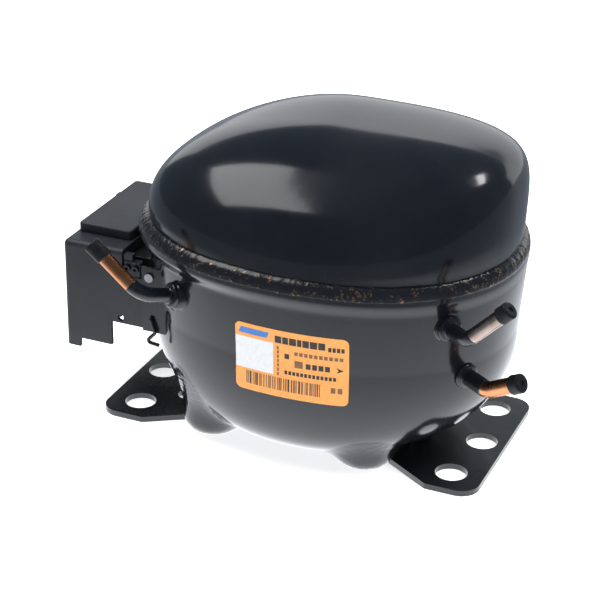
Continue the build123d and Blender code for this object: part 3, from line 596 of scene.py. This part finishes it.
def turned(name, start, along, profile, material):
    """A body of revolution: profile is (distance along the axis, radius) pairs, closed."""
    along = unit(along)
    side = unit(np.cross(along, [0.3, 0.1, 1.0]))
    other = np.cross(along, side)
    t = 2 * np.pi * np.arange(TURNED_SIDES) / TURNED_SIDES
    round_ = np.outer(np.cos(t), side) + np.outer(np.sin(t), other)
    rings = [np.array(start) + along * d + round_ * r for d, r in profile]
    return skin(name, rings, material, poles=True)


def arc(centre, radius, start, stop, steps):
    """Profile points on an arc, in degrees from the axis direction."""
    angles = [math.radians(start + (stop - start) * k / steps) for k in range(steps + 1)]
    return [(centre[0] + radius * math.cos(a), centre[1] + radius * math.sin(a)) for a in angles]


def tube_boss(name):
    """Turned collar with a weld flare at the shell and a soft neck round the tube."""
    boss, bend, _ = TUBES[name]
    tube_r = TUBE_R[name]
    flare = [(-5.0, 0.6), (-5.0, BOSS_R + 1.3), (-0.6, BOSS_R + 0.9), (0.0, BOSS_R + 0.4), (0.5, BOSS_R)]
    nose = arc((1.2, BOSS_R - BOSS_EDGE), BOSS_EDGE, 90, 0, 9)
    neck = [(2.8, tube_r + 0.9), (2.9, tube_r + 0.5), (3.3, tube_r + 0.2), (3.4, 0.6)]
    profile = flare + nose + neck
    collar = turned(name + "_collar", boss, np.subtract(bend, boss), profile, SLOT_MATERIALS["black_enamel"])
    stand_for(collar, name + "_boss")


def rubber_cap(name):
    """Moulded stopper over the tube's end, with a dimple in its tip and a small lip."""
    _, bend, end = TUBES[name]
    back = np.subtract(bend, end)
    outer_r = TUBE_R[name] + RUBBER_T
    bore_r = TUBE_R[name] + 0.05
    length = RUBBER_LEN[name]
    tip = np.array(end) - unit(back) * RUBBER_TIP
    dimple = [(0.9, 0.05), (0.9, 1.1), (0.7, 1.45), (0.1, 1.6)]
    nose = arc((RUBBER_EDGE, outer_r - RUBBER_EDGE), RUBBER_EDGE, 180, 90, 7)
    wall = [(length * 0.5, outer_r - 0.08), (length - 1.2, outer_r + 0.05), (length - 0.4, outer_r + 0.02)]
    mouth = [(length, outer_r - 0.3), (length, bore_r), (1.8, bore_r), (1.8, 0.05)]
    profile = dimple + nose + wall + mouth
    cap = turned(name + "_stopper_moulded", tip, back, profile, SLOT_MATERIALS["stopper_rubber"])
    stand_for(cap, name + "_rubber_cap")


# ---------------------------------------------------------------- label
LABEL_X, LABEL_Z, LABEL_W, LABEL_H, LABEL_R = 15.0, 64.8, 28.2, 17.9, 3.0
FILM_T, PANEL_LIFT, INK_LIFT, INK_T = 0.22, 0.26, 0.29, 0.05
PRINT_U, PRINT_V = 0.955, 1.02     # the print is laid out on a 59 x 35 mm film


def on_bowl(x, z, lift):
    """The point at x and z on the front of the bowl, lifted off it."""
    a, b = bowl_reach(z)
    y = SHELL_Y - b * (1 - (abs(x - BOWL_X) / a) ** BOWL_N) ** (1 / BOWL_N)
    slope = np.array([np.sign(x - BOWL_X) * (abs(x - BOWL_X) / a) ** (BOWL_N - 1) / a,
                      -((abs(y - SHELL_Y) / b) ** (BOWL_N - 1)) / b, 0])
    return np.array([x, y, z]) + unit(slope) * lift


def label():
    """Round-cornered film that lies on the bowl."""
    corner, rings_in = 10, 14
    outline = []
    for cx, cz, start in ((1, 1, 0), (-1, 1, 90), (-1, -1, 180), (1, -1, 270)):
        for k in range(corner + 1):
            a = math.radians(start + 90 * k / corner)
            outline.append((cx * (LABEL_W - LABEL_R) + LABEL_R * math.cos(a),
                            cz * (LABEL_H - LABEL_R) + LABEL_R * math.sin(a)))
    dense = []
    for (u0, v0), (u1, v1) in zip(outline, outline[1:] + outline[:1]):
        pieces = max(1, int(math.hypot(u1 - u0, v1 - v0) / 1.5))
        dense += [(u0 + (u1 - u0) * k / pieces, v0 + (v1 - v0) * k / pieces) for k in range(pieces)]
    rings = []
    for lift, scales in ((FILM_T, np.linspace(0.02, 1.0, rings_in)), (0.0, np.linspace(1.0, 0.02, 3))):
        for s in scales:
            rings.append([on_bowl(LABEL_X + u * s, LABEL_Z + v * s, lift) for u, v in dense])
    film = skin("label_film", rings, SLOT_MATERIALS["label_film"], 60.0, poles=True)
    stand_for(film, "rating_label")


def patch(corners, lift):
    """One printed shape on the film, as a thin slab that follows the bowl."""
    (u0, v0), (u1, v1), (u2, v2), (u3, v3) = corners
    columns = max(2, int(max(abs(u1 - u0), abs(u2 - u3)) / 1.2) + 1)
    vertices = []
    for level in (lift, lift - INK_T):
        for row in range(2):
            for k in range(columns):
                f = k / (columns - 1)
                u = (u0 + (u1 - u0) * f) if row == 0 else (u3 + (u2 - u3) * f)
                v = (v0 + (v1 - v0) * f) if row == 0 else (v3 + (v2 - v3) * f)
                vertices.append(on_bowl(LABEL_X + u * PRINT_U, LABEL_Z + v * PRINT_V, level))
    n = columns
    faces = []
    for k in range(n - 1):
        faces.append((k, k + 1, n + k + 1, n + k))
        faces.append((2 * n + k, 3 * n + k, 3 * n + k + 1, 2 * n + k + 1))
        faces.append((k, 2 * n + k, 2 * n + k + 1, k + 1))
        faces.append((n + k, n + k + 1, 3 * n + k + 1, 3 * n + k))
    faces.append((0, n, 3 * n, 2 * n))
    faces.append((n - 1, 3 * n - 1, 4 * n - 1, 2 * n - 1))
    return vertices, faces


def bar(u, v, w, h, slant=0.0):
    """Corners of an upright or slanted block on the film."""
    return [(u, v), (u + w, v), (u + w + slant, v + h), (u + slant, v + h)]


def row(count, u, v, step_u, w, h, step_v=0.0):
    """Equal blocks in a line."""
    return [bar(u + step_u * k, v + step_v * k, w, h) for k in range(count)]


def prints():
    """Plain blocks where the label has its print: no letters, marks or signs."""
    rng = random.Random(3)
    panel = [bar(-29.3, -6.2, 20.8, 16.6)]
    blue = [bar(-27.6, 12.3, 15.5, 3.0, 1.4)]
    ink, faded = [], []
    x = -7.6
    for w in (3.4, 3.0, 3.6, 2.2, 3.2, 3.6, 3.4):
        ink.append(bar(x, 10.9, w, 3.6))
        x += w + 0.55
    ink += row(4, 19.6, 10.4, 2.1, 1.5, 2.3)
    faded += row(10, 2.6, 5.8, 2.5, 1.7, 1.9)
    ink.append(bar(-2.6, 3.3, 2.4, 2.6))
    ink += row(4, 8.4, -0.4, 3.2, 2.4, 2.8)
    faded.append(bar(2.6, -0.6, 4.2, 3.6))
    ink.append([(23.6, -0.6), (27.0, 0.9), (27.0, 0.9), (24.6, 0.9)])
    ink.append([(24.6, 0.9), (27.0, 0.9), (27.0, 0.9), (23.6, 2.4)])
    ink += row(13, -2.6, -4.9, 2.05, 1.4, 1.9)
    faded += row(7, -6.6, -6.2, 0.0, 1.0, 1.6, step_v=2.3)
    for k in range(5):
        faded.append(bar(-27.6, -4.0 + 2.7 * k, 17.0 - 2.0 * (k % 2), 0.9))
    x = -23.4
    while x < 16.0:
        w = rng.choice((0.35, 0.55, 0.9))
        (ink if rng.random() < 0.6 else faded).append(bar(x, -14.0, w, 6.6))
        x += w + rng.choice((0.35, 0.6, 0.9))
    faded += row(2, 21.0, -11.2, 3.4, 2.2, 2.8)
    layers = (("panel", panel, PALE_PANEL, PANEL_LIFT), ("ink", ink, INK, INK_LIFT),
              ("faded", faded, FADED_INK, INK_LIFT), ("blue", blue, BLUE_INK, INK_LIFT))
    for title, shapes, film, lift in layers:
        vertices, faces = [], []
        for corners in shapes:
            points, quads = patch(corners, lift)
            faces += [tuple(i + len(vertices) for i in quad) for quad in quads]
            vertices += points
        printed = new_piece("label_" + title + "_blocks", vertices, faces, film)
        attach(printed, "shell")


# ---------------------------------------------------------------- plates, box and small parts
EDGE_BREAKS = {                    # bevel widths in mm
    "foot_plate_left": 0.45, "foot_plate_right": 0.45, "box_housing": 0.55, "box_lid": 0.25,
    "cable_clamp": 0.25, "terminal_fence": 0.25, "clip_bracket": 0.2, "ptc_starter": 0.3,
    "crankcase": 0.5, "cylinder_head": 0.4, "stator_bolts": 0.25, "head_bolts": 0.25,
}


def flexing(node):
    """A spring, pipe or lead that reaches from the shell to the pump, copied smooth-shaded where it stands;
    nothing here bends it.
    """
    source = frame["nodes"][node]
    made = bpy.data.objects.new(node + "_flexing", source.data.copy())
    bpy.context.scene.collection.objects.link(made)
    made.data.polygons.foreach_set("use_smooth", [True] * len(made.data.polygons))
    made.data.set_sharp_from_angle(angle=math.radians(40.0))
    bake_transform(made)
    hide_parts(node)


def flexible_parts():
    """The springs, the lead wires and the loop tube, copied as they stand; nothing here bends them as the pump
    bounces.
    """
    flexing("suspension_springs")
    flexing("lead_wires")
    flexing("shock_loop_tube")


# ---------------------------------------------------------------- studio
def area_light(name, place, target, size, power, mirrored=True):
    """Soft panel that faces target; an unmirrored one doesn't show in glossy surfaces."""
    data = bpy.data.lights.new(name, "AREA")
    data.shape = "RECTANGLE"
    data.size, data.size_y = size
    data.energy = power
    light = bpy.data.objects.new(name, data)
    bpy.context.scene.collection.objects.link(light)
    light.location = place
    light.rotation_euler = (Vector(target) - Vector(place)).to_track_quat("-Z", "Y").to_euler()
    light.visible_glossy = mirrored
    light.visible_camera = False


def sheet(name, half, height, material):
    """Flat square round the origin, at the given height."""
    mesh = bpy.data.meshes.new(name)
    corners = [(-half, -half, height), (half, -half, height), (half, half, height), (-half, half, height)]
    mesh.from_pydata(corners, [], [(0, 1, 2, 3)])
    mesh.materials.append(material)
    made = bpy.data.objects.new(name, mesh)
    bpy.context.scene.collection.objects.link(made)
    return made


def floor_paint():
    m = Nodes("floor", Metallic=0.0, Emission_Strength=0.75)
    tone = m.mix(m.spread(m.noise(3.0), 0.3, 0.7, 0, 1), (0.90, 0.90, 0.905), (0.93, 0.93, 0.93))
    m.set("Base Color", tone)
    m.set("Emission Color", tone)
    m.set("Roughness", m.spread(m.noise(40.0), 0.3, 0.7, 0.75, 0.9))
    return m.material


def table_glow():
    """Painted reflection: a glowing sheet that only glossy rays see, standing for the table, bright beside the
    part, dim further out.
    """
    m = Nodes("table_glow", Metallic=0.0, Emission_Strength=1.0, Base_Color=(0.0, 0.0, 0.0))
    flat = m.node("ShaderNodeMapping")
    flat.inputs["Scale"].default_value = (0.85, 1.0, 0.0)
    m.link(m.place, flat.inputs["Vector"])
    length = m.node("ShaderNodeVectorMath", operation="LENGTH")
    m.link(flat.outputs["Vector"], length.inputs[0])
    # painted reflection: the glow fades from bright beside the part to dim further out
    fade = m.spread(length.outputs["Value"], 0.10, 0.30, 1.0, 0.0)
    m.set("Emission Color", m.mix(fade, (0.17, 0.20, 0.24), (1.75, 1.8, 1.9)))
    return m.material


FLOOR_HALF, GLOW_HEIGHT = 6.0, 0.0001


def studio():
    """White table and world, a softbox and a back wall that show as highlights, and plain fills."""
    floor = sheet("floor", FLOOR_HALF, 0.0, floor_paint())
    floor.visible_glossy = False
    glow = sheet("table_glow", FLOOR_HALF, GLOW_HEIGHT, table_glow())
    for ray in ("camera", "diffuse", "transmission", "volume_scatter", "shadow"):
        setattr(glow, "visible_" + ray, False)
    world = bpy.data.worlds.new("studio")
    bpy.context.scene.world = world
    world.use_nodes = True
    background = world.node_tree.nodes["Background"]
    background.inputs["Color"].default_value = (0.62, 0.80, 1.0, 1.0)
    background.inputs["Strength"].default_value = 0.15
    area_light("overhead", (0.1, 0.4, 2.4), (0.0, 0.2, 0.0), (3.2, 3.2), 120, mirrored=False)
    area_light("left_fill", (-1.6, 0.2, 0.7), (0.0, 0.0, 0.08), (0.8, 1.4), 16, mirrored=False)
    area_light("right_fill", (1.7, 0.0, 0.7), (0.0, 0.0, 0.08), (0.8, 1.4), 14, mirrored=False)
    area_light("back_wall", (-0.3, 2.4, 0.66), (0.0, 0.0, 0.5), (4.6, 1.25), 15)
    area_light("key_softbox", (-0.75, -0.12, 1.28), (0.0, -0.05, 0.14), (1.0, 0.62), 6.0)
    area_light("right_small", (0.50, 0.53, 1.37), (0.08, -0.02, 0.15), (0.42, 0.18), 2.4)


CAM_AZIMUTH, CAM_ELEVATION, CAM_ROLL = 22.62, 25.98, 1.13
CAM_DISTANCE, CAM_TARGET, CAM_LENS = 0.93374, (-0.00952, -0.00405, 0.063), 111.0


def camera():
    """A long lens from the front right, a little above, turned slightly about its axis."""
    a, e, roll = (math.radians(v) for v in (CAM_AZIMUTH, CAM_ELEVATION, CAM_ROLL))
    back = Vector((math.sin(a) * math.cos(e), -math.cos(a) * math.cos(e), math.sin(e)))
    level = Vector((math.cos(a), math.sin(a), 0))
    up = back.cross(level)
    right = level * math.cos(roll) + up * math.sin(roll)
    up = up * math.cos(roll) - level * math.sin(roll)
    data = bpy.data.cameras.new("camera")
    data.lens = CAM_LENS
    data.sensor_width = 36.0
    made = bpy.data.objects.new("camera", data)
    bpy.context.scene.collection.objects.link(made)
    place = Vector(CAM_TARGET) + back * CAM_DISTANCE
    turn = Matrix((right, up, back)).transposed().to_4x4()
    made.matrix_world = Matrix.Translation(place) @ turn
    bpy.context.scene.camera = made


camera()
studio()
bpy.context.scene.view_settings.view_transform = "Standard"
upper_shell()
lower_shell()
weld_bead()
for tube_name in TUBES:
    tube(tube_name)
    tube_boss(tube_name)
    rubber_cap(tube_name)
label()
prints()
for cad_name, edge in EDGE_BREAKS.items():
    softened(cad_name, edge)
flexible_parts()
